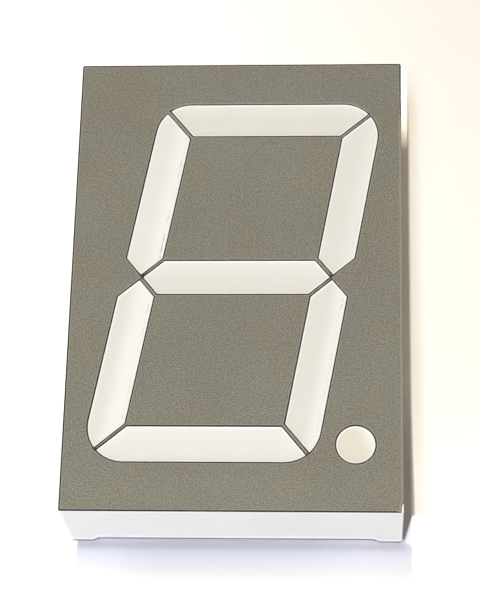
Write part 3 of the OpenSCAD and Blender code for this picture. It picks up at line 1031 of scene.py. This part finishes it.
def cast_seal(material):
    """The wavy grid, a straight wall up from its border, and one flat face in the board that closes it.

    It reaches a little into the walls and the board, so that no gap shows, and runs through pins and posts.
    """
    beside_wall = [0.04, 0.1, 0.18, 0.28, 0.42, 0.6, 0.85]
    beside_pin = [0.0, 0.12, 0.25, 0.3, 0.37, 0.46, 0.58, 0.75, 1.0]
    wide, long = seal_high[:2] + INTO_WALL
    walls_x = crowded(-wide, wide, 45, [-wide, wide], beside_wall)
    walls_y = crowded(-long, long, 61, [-long, long], beside_wall)
    x = np.unique(np.concatenate([walls_x, crowded(-wide, wide, 2, np.unique(PIN_PLACES[:, 0]), beside_pin)]))
    y = np.unique(np.concatenate([walls_y, crowded(-long, long, 2, (-ROW, ROW), beside_pin)]))
    grid_x, grid_y = np.meshgrid(x, y, indexing="ij")
    rows, columns = grid_x.shape
    flat = np.column_stack([grid_x.ravel(), grid_y.ravel()])
    low = np.column_stack([flat, seal_surface(*flat.T)])
    ring = rim_of(np.arange(rows * columns).reshape(rows, columns))
    count = len(ring)
    high = np.column_stack([flat[ring], np.full(count, seal_high[2] + INTO_BOARD)])
    upper = np.arange(count) + len(low)
    walls = np.stack([ring, np.roll(ring, -1), np.roll(upper, -1), upper], -1)
    faces = grid_faces(rows, columns, 0, True).tolist() + walls.tolist() + [upper.tolist()]
    return plain_mesh("potting", np.concatenate([low, high]), faces, material, smooth=True)


def clear_resin():
    """Faintly cloudy, cream and glossy, with a few specks of dust in it."""
    finish = Finish("clear_resin")
    cloud = finish.noise(7.0, detail=3.0)
    speck = finish.noise(0.6, detail=1.0).ramp(0.74, 0.8)
    colour = finish.blend(cloud.ramp(0.3, 0.7), linear(232, 226, 204), linear(222, 214, 188))
    return finish.coat(
        Base_Color=finish.blend(speck * 0.5, colour, linear(150, 140, 120)),
        Roughness=cloud.ramp(0.3, 0.7, 0.1, 0.2),
        Normal=finish.bump(finish.noise(2.5, detail=2.0), 0.01),
        Alpha=0.3,
    )


potting = cast_seal(clear_resin())
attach(potting, "root")
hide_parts("sealing_resin")
print("points in the potting:", len(potting.data.vertices))


# %% Board, metals and dice
# One thread every half millimetre, as a wave: 2 pi / 0.5
THREADS = 12.566


def glass_epoxy():
    """Green lacquer over woven glass: two crossed waves, one thread every half millimetre."""
    finish = Finish("glass_epoxy_board")
    cloud = finish.noise(6.0, detail=3.0)
    threads = [(finish.axis(name) * THREADS).math("SINE") for name in "XY"]
    weave = threads[0] * threads[1] * 0.5 + 0.5
    colour = finish.blend(cloud.ramp(0.3, 0.7), linear(96, 142, 84), linear(80, 126, 76))
    return finish.coat(
        Base_Color=finish.shade(colour, weave.ramp(0, 1, 0.92, 1.06)),
        Roughness=cloud.ramp(0.3, 0.7, 0.3, 0.45),
        Normal=finish.bump(weave, 0.008),
    )


def metal(name, clean, dull, smooth, rough, period=1.5, pull=(1, 1, 1)):
    """Metal clouded between clean and dull. Pull stretches the clouds into streaks along an axis."""
    finish = Finish(name)
    place = finish.place.math("MULTIPLY", pull)
    cloud = finish.noise(period, detail=4.0, roughness=0.6, place=place)
    fine = finish.noise(period / 6, detail=2.0, place=place)
    return finish.coat(
        Base_Color=finish.blend(cloud.ramp(0.35, 0.65), linear(*clean), linear(*dull)),
        Metallic=1.0,
        Roughness=(cloud * 0.6 + fine * 0.4).ramp(0.3, 0.7, smooth, rough),
        Normal=finish.bump(fine, 0.004),
    )


def crystal():
    """Yellowish grey, glossy, with the rough saw marks that a die keeps on its four sides."""
    finish = Finish("emitter_die")
    saw = finish.noise(0.05, detail=2.0, place=finish.place.math("MULTIPLY", (1, 1, 6)))
    return finish.coat(
        Base_Color=finish.blend(saw.ramp(0.3, 0.7), linear(196, 172, 112), linear(168, 140, 84)),
        Roughness=saw.ramp(0.3, 0.7, 0.18, 0.4),
        Normal=finish.bump(saw, 0.004),
    )


COPPER = metal("copper", (214, 154, 112), (178, 112, 74), 0.22, 0.42)
TINNED = metal("tinned_wire", (214, 214, 210), (178, 178, 176), 0.2, 0.42, 0.5, (1, 1, 0.12))
CRYSTAL = crystal()
dress("circuit_board", glass_epoxy())
for side in ("front", "rear"):
    dress(f"{side}_copper", COPPER)
for letter in STROKES:
    dress(f"dice_{letter}", CRYSTAL)
dress("die_point", CRYSTAL)
dress("bond_wires", metal("gold_wire", (255, 216, 122), (232, 184, 92), 0.12, 0.25, 0.4))
for number in range(1, 11):
    dress(f"pin_{number}", TINNED)
dress("solder_joints", metal("solder", (214, 216, 220), (184, 186, 190), 0.14, 0.36, 0.8))
